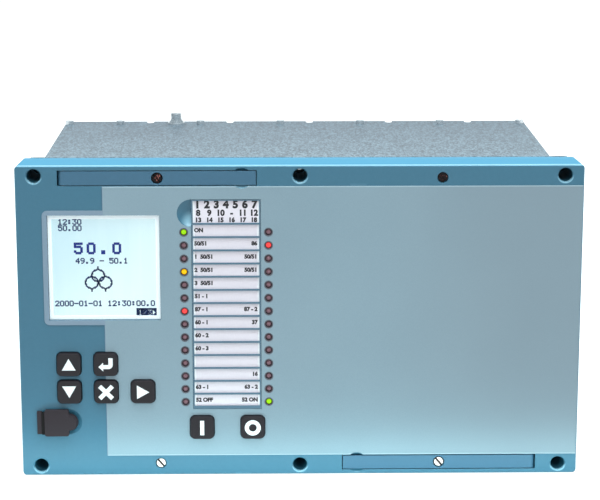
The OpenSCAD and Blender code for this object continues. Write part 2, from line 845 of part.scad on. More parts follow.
module lamp_amber() {
    color("gold") for (p = amber_lamps) lamp(p[0], p[1]);
}

module lamps_red() {
    color("tomato") for (p = red_lamps) lamp(p[0], p[1]);
}

// Front board and what stands on it

module front_board() {
    color("darkgreen") difference() {
        block(board_x, 0, board_w, board_h, board_y, board_y + board_t);
        for (p = board_boss_places) post(p[0], p[1], 1.2, board_y - 1, board_y + board_t + 1);
    }
}

module key_switches() {
    color("black")
        for (p = key_places) {
            block(p[0], p[1], 6, 6, board_y - switch_h, board_y);
            post(p[0], p[1], 1.7, board_y - switch_h - 0.4, board_y - switch_h + 0.1);
        }
}

socket_mouth_y = wall_y + 0.3;
module port_socket() {
    mouth_w = 8.6;
    mouth_h = 7.9;
    color("silver") {
        difference() {
            block(port_x, port_z, 12, 10.8, socket_mouth_y, board_y);
            block(port_x, port_z, mouth_w, mouth_h, socket_mouth_y - 1, board_y - 2.5);
        }
        block(port_x, port_z, 5.6, 3.1, socket_mouth_y + 1.4, board_y - 2);
    }
}

module cover_anchor() {
    x = hinge_x - hinge_r - 0.1 - anchor_w / 2;
    color("black") block(x, port_z, anchor_w, anchor_h, front_y - anchor_t, front_y);
}

// Rubber cover with its hinge roll, plug ring and tapered pull nose
module port_cover() {
    top_y = front_y - cover_t;
    under_y = front_y - cover_gap;
    color("black") union() {
        slab(top_y, under_y) translate([port_x, port_z]) round_rect(cover_l, cover_h, cover_r);
        translate([port_x + cover_l / 2, under_y, port_z]) rotate([90, 0, 0])
            cylinder(r1 = nose_r, r2 = nose_r - nose_draft, h = under_y - top_y);
        block(hinge_x + 0.4, port_z, 1, anchor_h - 1, hinge_y - 0.35, hinge_y + 0.35);
        translate([hinge_x, hinge_y, port_z]) cylinder(r = hinge_r, h = anchor_h, center = true);
        difference() {
            block(port_x - 0.3, port_z, port_w - 1.4, port_h - 0.6, under_y - 0.1, front_y + 1.4);
            block(port_x - 0.3, port_z, port_w - 1.4 - 2 * plug_ring_t, port_h - 0.6 - 2 * plug_ring_t,
                  under_y, front_y + 2);
        }
    }
}

// Securing screws and handles

module securing_screws() {
    color("gainsboro")
        for (sx = [-1, 1], sz = [-1, 1])
            translate([sx * screw_x, stud_top, sz * screw_z]) rotate([90, 0, 0]) rotate(-50)
                slotted_screw(screw_head_r, screw_head_t, screw_r, screw_end - stud_top, screw_slot);
}

module handle_pins() {
    color("silver")
        for (turn = [0, 180])
            rotate([0, turn, 0]) translate([-pivot_x, pivot_y, screw_z])
                cylinder(r = handle_pin_r, h = pocket_h + 2, center = true);
}

// Upper left handle, seen from the front, pivoted at its left end
module handle() {
    y1 = front_y + handle_t;
    difference() {
        union() {
            translate([-pivot_x, front_y, screw_z - handle_h / 2])
                cube([handle_l - pivot_in, handle_t, handle_h]);
            translate([-pivot_x, pivot_y, screw_z]) cylinder(r = pivot_in, h = handle_h, center = true);
        }
        translate([-pivot_x, pivot_y, screw_z])
            cylinder(r = handle_pin_r + pin_fit, h = handle_h + 1, center = true);
        post(-screw_x, screw_z, stud_r + 0.6, front_y - 1, y1 + 1);
        // Hollow in the handle's back
        translate([-screw_x + stud_r + 4, front_y + 2, screw_z - handle_h / 2 + 1.5])
            cube([handle_l / 2 - stud_r - 4 - dish_back - dish_r, handle_t, handle_h - 3]);
        translate([-pivot_x + pivot_in + 3, front_y + 2, screw_z - handle_h / 2 + 1.5])
            cube([handle_l / 2 - 2 * pivot_in - stud_r - 7, handle_t, handle_h - 3]);
    }
}

module handle_top() {
    color("steelblue") handle();
}

module handle_bottom() {
    color("steelblue") rotate([0, 180, 0]) handle();
}

// Keys

module key(n) {
    p = key_places[n];
    top_y = face_y - key_proud;
    e = 0.9;
    stem_end = board_y - switch_h - 0.4 - key_travel - 0.1;
    color([0.2, 0.19, 0.2]) {
        hull($fn = 32) {
            slab(top_y, top_y + 0.01) translate(p) round_rect(key_size - 2 * e, key_size - 2 * e, key_r - e);
            slab(top_y + 0.3 * e, top_y + 0.3 * e + 0.01)
                translate(p) round_rect(key_size - 0.6 * e, key_size - 0.6 * e, key_r - 0.3 * e);
            slab(top_y + e, wall_y + key_seat + 0.1) translate(p) round_rect(key_size, key_size, key_r);
        }
        block(p[0], p[1], key_lip, key_lip, wall_y + key_seat, wall_y + key_seat + key_lip_t);
        post(p[0], p[1], 2.5, wall_y + key_seat + key_lip_t - 0.1, stem_end);
    }
}

// Withdrawable unit

module front_plate() {
    w = bezel_w - 2 * bezel_draft - 2 * bezel_wall - 1;
    color("silver") difference() {
        block(0, 0, w, bezel_h - 2 * plate_margin_z, plate_y, plate_y + chassis_t);
        for (p = plate_boss_places) post(p[0], p[1], 1.6, plate_y - 1, plate_y + chassis_t + 1);
        for (x = module_x)
            block(x, 0, module_pitch / 4, card_h * 0.45, plate_y - 1, plate_y + chassis_t + 1);
    }
}

side_windows = 4;
foot_w = 6.4;
window_pitch = (side_back - card_front) / side_windows;
module side_plates() {
    color("silver")
        for (sx = [-1, 1]) difference() {
            translate([sx * side_x - chassis_t / 2, card_front, -side_h / 2])
                cube([chassis_t, side_back - card_front, side_h]);
            for (k = [0:side_windows - 1])
                translate([sx * side_x, card_front + (k + 0.5) * window_pitch, 0])
                    rotate([0, 90, 0]) linear_extrude(4 * chassis_t, center = true)
                        round_rect(side_h - 50, window_pitch - 13.5, 6);
        }
}

// Feet folded inwards from the side plates, against the front plate
module side_feet() {
    color("silver")
        for (sx = [-1, 1])
            translate([sx * (side_x - chassis_t / 2 - foot_w / 2), card_front + chassis_t / 2, 0])
                cube([foot_w, chassis_t, side_h - 6], center = true);
}

// Channel bars between the side plates, above and below the cards
module tie_bars() {
    color("silver")
        for (sz = [-1, 1])
            difference() {
                block(0, sz * tie_z, 2 * side_x - chassis_t, tie_h, side_back - 14, side_back - 2);
                block(0, sz * (tie_z + chassis_t), 2 * side_x, tie_h,
                      side_back - 14 + chassis_t, side_back - 2 - chassis_t);
            }
}

// Upright board of a module, off its middle by a shift
card_shift = 9;
function card_x(n) = (n < 5 ? module_x[n] : narrow_x) - card_shift * (n < 5 ? 1 : 0.7);
module card(n) {
    color("darkgreen") translate([card_x(n) - board_t, card_front, -card_h / 2])
        cube([board_t, card_back - card_front, card_h]);
}

// Place on a card as parts of its depth and height, and a part on its right face
function along(part) = card_front + part * (card_back - card_front);
function up(part) = part * card_h;
module on_card(n, y, z, size) {
    translate([card_x(n), along(y) - size[1] / 2, up(z) - size[2] / 2]) cube(size);
}

module processor_card() {
    card(5);
    color("silver") on_card(5, 0.38, 0.15, [3, 44, 44]);
    color("black") {
        on_card(5, 0.74, 0.29, [2, 20, 20]);
        on_card(5, 0.74, -0.02, [1.6, 26, 14]);
        on_card(5, 0.38, -0.3, [2, 30, 16]);
    }
}

// Transformer, capacitors and heat sink of the power supply
fin_count = 7;
fin_pitch = 6;
fin_t = 1.6;
module power_parts() {
    color("goldenrod") {
        on_card(4, 0.33, 0.26, [26, 34, 30]);
        for (k = [0:2])
            translate([card_x(4), along(0.225 + 0.13 * k), up(-0.09)]) rotate([0, 90, 0])
                cylinder(r = 8.5, h = 27);
        difference() {
            on_card(4, 0.73, -0.2, [24, 40, (fin_count - 1) * fin_pitch + fin_t]);
            for (k = [0:fin_count - 2])
                translate([card_x(4) + 3, along(0.73) - 21, up(-0.2) + (k - fin_count / 2 + 1) * fin_pitch])
                    translate([0, 0, (fin_t - fin_pitch) / 2]) cube([24, 42, fin_pitch - fin_t]);
        }
    }
}

relay_size = [15.6, 28, 12.6];
relay_pitch = card_h / 5.5;
module output_relays() {
    color("black")
        for (n = [2, 3], i = [-2:2], j = [0:1])
            translate([card_x(n), along(0.225 + 0.38 * j), i * relay_pitch - relay_size[2] / 2])
                cube(relay_size);
}

// Ring cores on the two transformer cards
core_r = 19;
core_bore_r = 8;
core_l = 22;
module current_transformers() {
    color("goldenrod")
        for (n = [0, 1], i = [-1:1], j = [0:1])
            translate([card_x(n), along(0.25 + 0.36 * j), i * card_h / 3]) rotate([0, 90, 0]) difference() {
                cylinder(r = core_r, h = core_l);
                translate([0, 0, -1]) cylinder(r = core_bore_r, h = core_l + 2);
            }
}

module transformer_card() {
    card(0);
    card(1);
}

// Plug on the rear edge of each card, facing its terminal block
module card_plugs() {
    color("darkslategray")
        for (x = module_x) block(x, 0, 30, card_h - 20, card_back, unit_back);
    color("darkslategray")
        block(narrow_x - 2, 0, 14, card_h - 20, card_back, port_back - port_body[2] - plug_gap);
}

case_shell();
rear_plate();
rear_folds();
case_screws();
earth_screw();
earth_washers();
screw_bushes();
unit_runners();
terminal_block(0);  // terminal_block_1
terminal_block(1);  // terminal_block_2
terminal_block(2);  // terminal_block_3
terminal_block(3);  // terminal_block_4
terminal_block(4);  // terminal_block_5
terminal_screws();
block_screws();
network_port(0);  // network_port_1
network_port(1);  // network_port_2
serial_plug();
bezel();
front_film();
display_window();
display_border_frame();
display_glass();
display_module();
legend_card();
legend_frame();
lamp_holders();
lamps_off();
lamps_green();
lamp_amber();
lamps_red();
front_board();
key_switches();
port_socket();
cover_anchor();
securing_screws();
handle_pins();
front_plate();
side_plates();
side_feet();
tie_bars();
processor_card();
card(4);  // power_card
card(3);  // relay_card_1
card(2);  // relay_card_2
transformer_card();
power_parts();
output_relays();
current_transformers();
card_plugs();
key(0);  // key_up
key(1);  // key_down
key(2);  // key_enter
key(3);  // key_cancel
key(4);  // key_right
key(5);  // key_closing
key(6);  // key_opening
handle_top();
handle_bottom();
port_cover();
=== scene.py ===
import json
import math

import bmesh
import bpy
from mathutils import Matrix, Vector


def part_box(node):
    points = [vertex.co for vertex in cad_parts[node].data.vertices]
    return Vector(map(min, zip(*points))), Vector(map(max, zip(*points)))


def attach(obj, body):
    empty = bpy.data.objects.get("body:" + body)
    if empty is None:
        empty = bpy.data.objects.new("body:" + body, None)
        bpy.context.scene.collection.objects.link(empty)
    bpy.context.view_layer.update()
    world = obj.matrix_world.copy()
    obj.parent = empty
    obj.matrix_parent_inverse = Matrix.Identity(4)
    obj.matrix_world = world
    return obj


MM = 0.001
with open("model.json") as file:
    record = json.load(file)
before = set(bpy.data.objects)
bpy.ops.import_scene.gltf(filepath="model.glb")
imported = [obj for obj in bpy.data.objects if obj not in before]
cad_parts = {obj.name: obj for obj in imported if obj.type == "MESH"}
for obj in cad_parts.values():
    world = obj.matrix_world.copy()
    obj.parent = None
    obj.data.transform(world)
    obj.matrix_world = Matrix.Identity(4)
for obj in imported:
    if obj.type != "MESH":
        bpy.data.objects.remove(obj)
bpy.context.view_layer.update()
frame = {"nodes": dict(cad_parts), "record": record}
nodes = frame["nodes"]


# Shader nodes

def shade(red, green, blue):
    """An sRGB colour of 0 to 255 as linear light."""
    def linear(value):
        value /= 255
        return value / 12.92 if value <= 0.04045 else ((value + 0.055) / 1.055) ** 2.4
    return linear(red), linear(green), linear(blue), 1.0


class Number:
    """A socket that is reckoned with like a plain number."""

    def __init__(self, finish, socket):
        self.finish = finish
        self.socket = socket

    def math(self, operation, *others):
        made = self.finish.node("Math", {"operation": operation}, dict(enumerate((self, *others))))
        return Number(self.finish, made.outputs[0])

    def __add__(self, other):
        return self.math("ADD", other)

    def __sub__(self, other):
        return self.math("SUBTRACT", other)

    def __mul__(self, other):
        return self.math("MULTIPLY", other)

    def __truediv__(self, other):
        return self.math("DIVIDE", other)

    def __rsub__(self, other):
        return (self * -1) + other

    __radd__ = __add__
    __rmul__ = __mul__

    def __abs__(self):
        return self.math("ABSOLUTE")

    def least(self, other):
        return self.math("MINIMUM", other)

    def most(self, other):
        return self.math("MAXIMUM", other)

    def over(self, limit):
        return self.math("GREATER_THAN", limit)

    def part(self):
        return self.math("FRACT")

    def length(self, other):
        return (self * self + other * other).math("SQRT")

    def ramp(self, low, high):
        """0 at low, 1 at high and smooth between."""
        made = self.finish.node("MapRange", {"interpolation_type": "SMOOTHSTEP"},
                                {"Value": self, "From Min": low, "From Max": high})
        return Number(self.finish, made.outputs[0])


class Finish:
    """A material built from nodes in the object's own coordinates."""

    def __init__(self, name, metallic=0.0, coat=0.0, alpha=1.0, glow=0.0, specular=0.5):
        self.material = bpy.data.materials.new(name)
        self.material.use_nodes = True
        self.tree = self.material.node_tree
        self.shader = self.tree.nodes["Principled BSDF"]
        self.shader.inputs["Metallic"].default_value = metallic
        self.shader.inputs["Coat Weight"].default_value = coat
        self.shader.inputs["Alpha"].default_value = alpha
        self.shader.inputs["Specular IOR Level"].default_value = specular
        self.shader.inputs["Emission Strength"].default_value = glow
        self.place = self.node("TexCoord").outputs["Object"]
        split = self.node("SeparateXYZ", inputs={0: self.place})
        self.x, self.y, self.z = (Number(self, split.outputs[n]) for n in range(3))

    def node(self, kind, settings=None, inputs=None):
        made = self.tree.nodes.new("ShaderNode" + kind)
        for name, value in (settings or {}).items():
            setattr(made, name, value)
        for name, value in (inputs or {}).items():
            self.feed(made.inputs[name], value)
        return made

    def feed(self, socket, value):
        if isinstance(value, Number):
            value = value.socket
        if isinstance(value, bpy.types.NodeSocket):
            self.tree.links.new(value, socket)
        else:
            socket.default_value = value

    def grain(self, size, detail=2.0, stretch=(1, 1, 1)):
        """Cloudy noise from 0 to 1 whose lumps are about size millimetres across."""
        place = self.node("Mapping", inputs={"Vector": self.place, "Scale": stretch})
        made = self.node("TexNoise", inputs={"Vector": place.outputs[0], "Scale": 1 / (size * MM),
                                             "Detail": detail})
        return Number(self, made.outputs[0])

    def flakes(self, size, stretch=(1, 1, 1)):
        """A random value from 0 to 1 in each cell of about size millimetres."""
        place = self.node("Mapping", inputs={"Vector": self.place, "Scale": stretch})
        made = self.node("TexVoronoi", inputs={"Vector": place.outputs[0], "Scale": 1 / (size * MM)})
        split = self.node("SeparateColor", inputs={0: made.outputs["Color"]})
        return Number(self, split.outputs[0])

    def mix(self, share, first, second):
        made = self.node("Mix", {"data_type": "RGBA"}, {0: share, 6: first, 7: second})
        return made.outputs[2]

    def surface(self, colour, roughness, relief=None, depth=0.02, edge=0.0, glow=None):
        """Sets colour and roughness, a bump as deep as depth and edges that shade as rounded."""
        self.feed(self.shader.inputs["Base Color"], colour)
        self.feed(self.shader.inputs["Roughness"], roughness)
        normal = None
        if edge:
            normal = self.node("Bevel", {"samples": 6}, {"Radius": edge * MM}).outputs[0]
        if relief is not None:
            inputs = {"Height": relief, "Distance": depth * MM, "Strength": 1.0}
            if normal:
                inputs["Normal"] = normal
            normal = self.node("Bump", inputs=inputs).outputs[0]
        if normal:
            self.feed(self.shader.inputs["Normal"], normal)
        if glow is not None:
            self.feed(self.shader.inputs["Emission Color"], glow)
        return self.material


def moulded(name, low, high, rough, relief_size=0.35, depth=0.012, edge=0.25, specular=0.5):
    """Plastic with a fine moulded texture between two close colours."""
    f = Finish(name, specular=specular)
    fine = f.grain(relief_size, 3)
    broad = f.grain(24, 3)
    return f.surface(f.mix(fine * 0.5 + broad * 0.5, low, high), broad * 0.1 + rough, fine, depth, edge)


def metal(name, low, high, rough, stretch=(1, 1, 1), size=0.5):
    """Plated metal with drawn or cast grain."""
    f = Finish(name, metallic=0.85)
    fine = f.grain(size, 3, stretch)
    broad = f.grain(14, 2)
    return f.surface(f.mix(fine * 0.6 + broad * 0.4, low, high), fine * 0.16 + rough, fine, 0.008, 0.15)


# Places on the part in millimetres: x to the right, y into the case, z up

FRONT_Y = -30.0
FIXING_X, FIXING_Z = 145.3, 82.8
TUNNEL_R = 3.9
BEZEL_X, BEZEL_Z = (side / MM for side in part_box("bezel")[1].xz)
SCREW_Z = 81.6
SCREW_SLOT_Y = -28.9
# Middle of the thumb dish across, and the height of the painted highlight in it.
THUMB_X, THUMB_HIGHLIGHT_Z = -59.7, 57.4
FINGER_X, FINGER_R = 31.95, 5.8
DISPLAY_X, DISPLAY_Z = -107.85, 31.3
HINGE_FOLD_X, HINGE_FOLD_HALF = -143.45, 0.8
LEGEND_X, LEGEND_TINT_HALF = -40.6, 17.2
LED_X = (-63.85, -17.35)
LED_APART = LED_X[1] - LED_X[0]
LED_TOP, LED_PITCH, LED_ROWS = 51.41, 7.4714, 14
LED_R = 1.7
film_low, film_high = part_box("front_film")
FILM_LEFT = -107.8
FILM_MIDDLE = (film_low.z + film_high.z) / 2 / MM
FILM_HALF = (film_high.z - film_low.z) / 2 / MM


# Materials

def at_fixings(f):
    """Distance from the nearest panel fixing's axis."""
    across = abs(f.x).least(abs(abs(f.x) - FIXING_X * MM))
    return across.length(abs(f.z) - FIXING_Z * MM)


def zinc_sheet():
    """Galvanised sheet: flakes of light and dark grey, with painted shade darker to the rear and painted
    shade round the fixings on the flange's front.
    """
    f = Finish("zinc_sheet")
    flake = f.flakes(0.8, (1, 0.35, 1))
    fine = f.grain(0.5, 3)
    broad = f.grain(45, 2)
    tone = flake * 0.85 + fine * 0.35 + broad * 0.12 - 0.16
    colour = f.mix(tone, shade(76, 88, 97), shade(150, 166, 176))
    # Painted shade: the sheet darkens towards the rear.
    colour = f.mix(f.y.ramp(-20 * MM, 220 * MM) * 0.42, colour, shade(58, 68, 82))
    # Painted shade on the flange's front round the fixings, where it is seen down the bezel's tunnels.
    shadow = at_fixings(f).ramp(6.2 * MM, 5.4 * MM) * f.y.ramp(-0.3 * MM, -0.6 * MM)
    f.feed(f.shader.inputs["Metallic"], (1 - shadow) * 0.7)
    return f.surface(f.mix(shadow, colour, shade(30, 52, 62)), flake * 0.18 + 0.42, flake, 0.01, 0.3)


def petrol_plastic(name, low, high):
    """Blue-green moulding: the bezel has rougher sides, painted highlights on the lower rims of the fixing
    holes, along its outer front edges and in the lower parts of the dishes, and painted shade in its tunnels.
    """
    f = Finish(name, specular=0.35)
    fine = f.grain(0.3, 3)
    mottle = f.grain(1.6, 3)
    broad = f.grain(60, 2)
    colour = f.mix(fine * 0.3 + mottle * 0.4 + broad * 0.3, low, high)
    behind = f.y.ramp((FRONT_Y + 2) * MM, (FRONT_Y + 3) * MM)
    outside = (abs(f.x) - BEZEL_X * MM).most(abs(f.z) - BEZEL_Z * MM)
    # Painted shade: the walls of the fixing tunnels.
    tunnel_shade_mask = at_fixings(f).ramp((TUNNEL_R + 0.3) * MM, (TUNNEL_R + 0.1) * MM) * behind
    above = (abs(f.z) - FIXING_Z * MM) * (f.z.over(0) * 2 - 1)
    # Painted highlight: pale lower halves of the fixing-hole rims and a pale band along the outer front
    # edges.
    rim_highlights = at_fixings(f).ramp((TUNNEL_R + 1) * MM, (TUNNEL_R + 0.5) * MM) * above.ramp(0.5 * MM, -3 * MM)
    rim_highlights = rim_highlights.most(outside.ramp(-0.7 * MM, -0.3 * MM) * 0.6) * (1 - behind)
    in_dish = f.y.ramp((FRONT_Y + 0.2) * MM, (FRONT_Y + 0.7) * MM)
    # Painted highlight: pale lower part of the thumb dish and the lower crescent of each finger dish.
    dish_highlights = (f.x - THUMB_X * MM).length(f.z - THUMB_HIGHLIGHT_Z * MM).ramp(6.5 * MM, 1.5 * MM)
    finger_dish_highlight = (abs(f.x) - FINGER_X * MM).length(above + (FIXING_Z - SCREW_Z) * MM)
    finger_dish_highlight = finger_dish_highlight.ramp((FINGER_R + 0.2) * MM, FINGER_R * MM)
    dish_highlights = dish_highlights.most(finger_dish_highlight * above.ramp(-3.8 * MM, -5.4 * MM)) * in_dish
    # The painted highlights all go on in one pale colour.
    colour = f.mix((rim_highlights * 0.5).most(dish_highlights * 0.7), colour, shade(150, 190, 206))
    rough = outside.ramp(-1.0 * MM, -0.5 * MM).most(tunnel_shade_mask) * behind
    # The tunnel walls take a darker teal as painted shade.
    return f.surface(f.mix(tunnel_shade_mask, colour, shade(38, 92, 112)), rough * 0.6 + 0.28, fine, 0.005, 0.6)


def silver_film():
    """Metallic grained film with painted shade that greys it to the right, a painted highlight along its
    upper and lower edges, and a greyer tone in its narrow part left of the display.
    """
    f = Finish("silver_film", metallic=0.3)
    fine = f.grain(0.45, 4)
    broad = f.grain(70, 2)
    colour = f.mix(fine * 0.6 + broad * 0.4, shade(114, 134, 145), shade(140, 160, 170))
    # Painted shade: the film greys towards the right.
    right = f.x.ramp(20 * MM, 130 * MM)
    colour = f.mix(right * 0.45, colour, shade(118, 128, 136))
    # Painted highlight: a pale line along the film's upper and lower edges.
    edge_highlight = abs(f.z - FILM_MIDDLE * MM).ramp(FILM_HALF * MM - 0.7 * MM, FILM_HALF * MM - 0.2 * MM)
    colour = f.mix(edge_highlight * 0.3, colour, shade(206, 226, 234))
    colour = f.mix(f.x.over(FILM_LEFT * MM), f.mix(fine, shade(112, 130, 146), shade(128, 146, 162)), colour)
    return f.surface(colour, fine * 0.15 + 0.42, fine, 0.006, 0.3)


def lamp_lens(name, middle, edge, glow, glow_edge, strength):
    """A domed light guide, brightest in a ring round its middle."""
    f = Finish(name, coat=0.1, glow=strength, specular=0.25)
    across = abs(abs(f.x - LEGEND_X * MM) - LED_APART / 2 * MM)
    step = ((f.z - LED_TOP * MM) / (LED_PITCH * MM) + 100.5).part() - 0.5
    out = across.length(step * (LED_PITCH * MM)) / (LED_R * MM)
    share = out.ramp(0.72, 0.98)
    speck = f.grain(0.3, 2)
    lit = f.mix(out.ramp(0.05, 0.5), glow_edge, glow)
    return f.surface(f.mix(share, middle, edge), speck * 0.1 + 0.35, glow=f.mix(share, lit, (0, 0, 0, 1)))


def display_picture():
    """The lit panel behind the dots, with the faint stripes and clouds of its back light."""
    f = Finish("display_picture", coat=0.3, glow=1.0)
    stripes = f.grain(1.6, 1, (1, 1, 0.02))
    cloud = f.grain(26, 2)
    lower_right = ((f.x - DISPLAY_X * MM) - (f.z - DISPLAY_Z * MM)).ramp(-50 * MM, 40 * MM)
    tone = stripes * 0.2 + cloud * 0.3 + lower_right * 0.6
    return f.surface(f.mix(tone, shade(138, 160, 168), shade(160, 176, 182)), cloud * 0.1 + 0.25,
                     glow=f.mix(tone, (0.32, 0.47, 0.53, 1), (0.55, 0.66, 0.62, 1)))


def display_white():
    """The display's white border, lit through from behind."""
    f = Finish("display_white", glow=0.24)
    cloud = f.grain(18, 2)
    white = f.mix(cloud, shade(240, 249, 252), shade(250, 254, 255))
    return f.surface(white, cloud * 0.1 + 0.45, glow=white)


def legend_paper():
    """Printed card, tinted between two white edges."""
    f = Finish("legend_paper")
    fibre = f.grain(0.6, 4, (1, 1, 0.4))
    edge = (abs(f.x - LEGEND_X * MM) - LEGEND_TINT_HALF * MM).over(0)
    tinted = f.mix(fibre, shade(224, 212, 220), shade(234, 223, 229))
    return f.surface(f.mix(edge, tinted, shade(254, 251, 253)), fibre * 0.1 + 0.6, fibre, 0.01)


def circuit_board():
    """Green solder mask over traces, with tinned pads."""
    f = Finish("board_green", coat=0.3)
    fine = f.grain(0.5, 2)
    lanes = f.grain(2.2, 0, (1, 0.25, 1)).ramp(0.52, 0.56)
    pad = f.flakes(2.4).over(0.93)
    colour = f.mix(lanes, shade(9, 62, 38), shade(22, 92, 56))
    return f.surface(f.mix(pad, colour, shade(178, 178, 160)), fine * 0.1 + 0.32, lanes, 0.03)


def screw_heads():
    """Plated screws with painted shade in their slots; the two upper ones are painted dark all over as shade,
    with red-brown flecks.
    """
    f = Finish("securing_screw_steel", metallic=0.7)
    fine = f.grain(0.6, 3)
    bright = f.mix(fine, shade(226, 220, 214), shade(247, 243, 238))
    # Painted shade in the slot.
    bright = f.mix(f.y.over(SCREW_SLOT_Y * MM), bright, shade(70, 50, 48))
    # Painted shade: the upper screws dark, flecked red-brown.
    upper_shade = f.mix(f.grain(0.9, 3).ramp(0.58, 0.72), shade(14, 6, 8), shade(186, 112, 104))
    return f.surface(f.mix(f.z.over(0), bright, upper_shade), fine * 0.2 + 0.28, fine, 0.01, 0.15)


def cover_rubber():
    """Matt rubber, with painted shade all but black in the fold of the hinge."""
    f = Finish("cover_rubber", specular=0.2)
    fine = f.grain(0.25, 3)
    broad = f.grain(24, 3)
    colour = f.mix(fine * 0.5 + broad * 0.5, shade(40, 33, 37), shade(54, 47, 51))
    # Painted shade in the hinge fold.
    colour = f.mix(abs(f.x - HINGE_FOLD_X * MM).over(HINGE_FOLD_HALF * MM), shade(10, 9, 10), colour)
    return f.surface(colour, broad * 0.1 + 0.6, fine, 0.015, 0.35)


def clear_window():
    """A pane that is all but invisible."""
    f = Finish("clear_window", alpha=0.04)
    haze = f.grain(30, 2)
    return f.surface(f.mix(haze, shade(70, 82, 88), shade(84, 96, 102)), haze * 0.03 + 0.05)


def printed(name, colour, darker, rough=0.5):
    """Ink or inlay with a slight mottle."""
    f = Finish(name)
    mottle = f.grain(0.4, 3)
    return f.surface(f.mix(mottle, darker, colour), mottle * 0.1 + rough)


finishes = {
    "zinc_sheet": zinc_sheet(),
    "screw_steel": metal("screw_steel", shade(112, 128, 138), shade(248, 252, 254), 0.22, size=0.9),
    "sheet_steel": metal("sheet_steel", shade(150, 156, 160), shade(196, 200, 202), 0.36, (1, 0.04, 1)),
    "runner_plastic": moulded("runner_plastic", shade(48, 50, 53), shade(62, 64, 67), 0.5),
    "terminal_plastic": moulded("terminal_plastic", shade(26, 29, 31), shade(40, 43, 45), 0.45),
    "port_shield": metal("port_shield", shade(160, 163, 160), shade(205, 207, 203), 0.3, (1, 1, 0.1)),
    "plug_plastic": moulded("plug_plastic", shade(28, 112, 62), shade(40, 134, 78), 0.4),
    "bezel_plastic": petrol_plastic("bezel_plastic", shade(53, 99, 120), shade(65, 110, 131)),
    "silver_film": silver_film(),
    "clear_window": clear_window(),
    "display_white": display_white(),
    "display_picture": display_picture(),
    "dark_parts": moulded("dark_parts", shade(48, 42, 48), shade(64, 56, 62), 0.45),
    "legend_paper": legend_paper(),
    "legend_bars": moulded("legend_bars", shade(70, 96, 112), shade(84, 112, 130), 0.5, 0.4, 0.005, 0.1),
    "lamp_dark": lamp_lens("lamp_dark", shade(128, 94, 102), shade(78, 68, 76),
                           (0, 0, 0, 1), (0, 0, 0, 1), 0.0),
    "lamp_green": lamp_lens("lamp_green", shade(120, 170, 0), shade(24, 60, 14),
                            (0.32, 0.66, 0.0, 1), (0.12, 0.42, 0.0, 1), 0.8),
    "lamp_amber": lamp_lens("lamp_amber", shade(220, 150, 0), shade(110, 60, 0),
                            (0.95, 0.56, 0.0, 1), (0.7, 0.3, 0.0, 1), 0.8),
    "lamp_red": lamp_lens("lamp_red", shade(220, 62, 58), shade(100, 16, 22),
                          (0.92, 0.06, 0.06, 1), (0.6, 0.02, 0.02, 1), 0.85),
    "board_green": circuit_board(),
    "power_metal": metal("power_metal", shade(120, 116, 104), shade(168, 162, 146), 0.4),
    "relay_case": moulded("relay_case", shade(22, 23, 26), shade(34, 35, 38), 0.35),
    "transformer_tape": moulded("transformer_tape", shade(176, 140, 44), shade(206, 170, 70), 0.4, 0.9, 0.05),
    "key_plastic": moulded("key_plastic", shade(24, 20, 24), shade(34, 30, 34), 0.4, 0.3, 0.01, 0.4,
                           specular=0.25),
    "cover_rubber": cover_rubber(),
}
for subpart in frame["record"]["subparts"]:
    mesh = nodes[subpart["node"]].data
    mesh.materials.clear()
    mesh.materials.append(finishes[subpart["material_slot"]])
nodes["securing_screws"].data.materials[0] = screw_heads()
handle_plastic = petrol_plastic("handle_plastic", shade(53, 93, 116), shade(65, 103, 127))
for handle in ("handle_top", "handle_bottom"):
    nodes[handle].data.materials[0] = handle_plastic


# Shapes, with places in millimetres

def finished(name, bm, body, material):
    """Turns a shape into a piece that rides on a body."""
    bmesh.ops.recalc_face_normals(bm, faces=bm.faces)
    mesh = bpy.data.meshes.new(name)
    bm.to_mesh(mesh)
    bm.free()
    mesh.materials.append(material)
    piece = bpy.data.objects.new(name, mesh)
    bpy.context.scene.collection.objects.link(piece)
    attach(piece, body)


def slab(bm, points, front, back):
    """A flat shape with an outline in x and z, between two planes."""
    sheet = bm.faces.new([bm.verts.new((x * MM, back * MM, z * MM)) for x, z in points])
    grown = bmesh.ops.extrude_face_region(bm, geom=[sheet], use_keep_orig=True)["geom"]
    corners = [part for part in grown if isinstance(part, bmesh.types.BMVert)]
    bmesh.ops.translate(bm, vec=(0, (front - back) * MM, 0), verts=corners)


def ring(bm, x, z, inner, outer, front, back, steps=28):
    """A flat ring about a line along y."""
    corners = [(inner, back), (inner, front), (outer, front), (outer, back)]
    verts = [bm.verts.new(((x + r) * MM, y * MM, z * MM)) for r, y in corners]
    edges = [bm.edges.new((verts[i - 1], verts[i])) for i in range(4)]
    bmesh.ops.spin(bm, geom=verts + edges, cent=(x * MM, 0, z * MM), axis=(0, 1, 0), dvec=(0, 0, 0),
                   angle=2 * math.pi, steps=steps, use_merge=True, use_duplicate=False)


def arc(x, z, r, start, end, steps):
    """Points round a centre, from one angle to another in degrees."""
    angles = [math.radians(start + (end - start) * i / steps) for i in range(steps + 1)]
    return [(x + r * math.cos(a), z + r * math.sin(a)) for a in angles]


CAPITAL_SHARE = 0.73


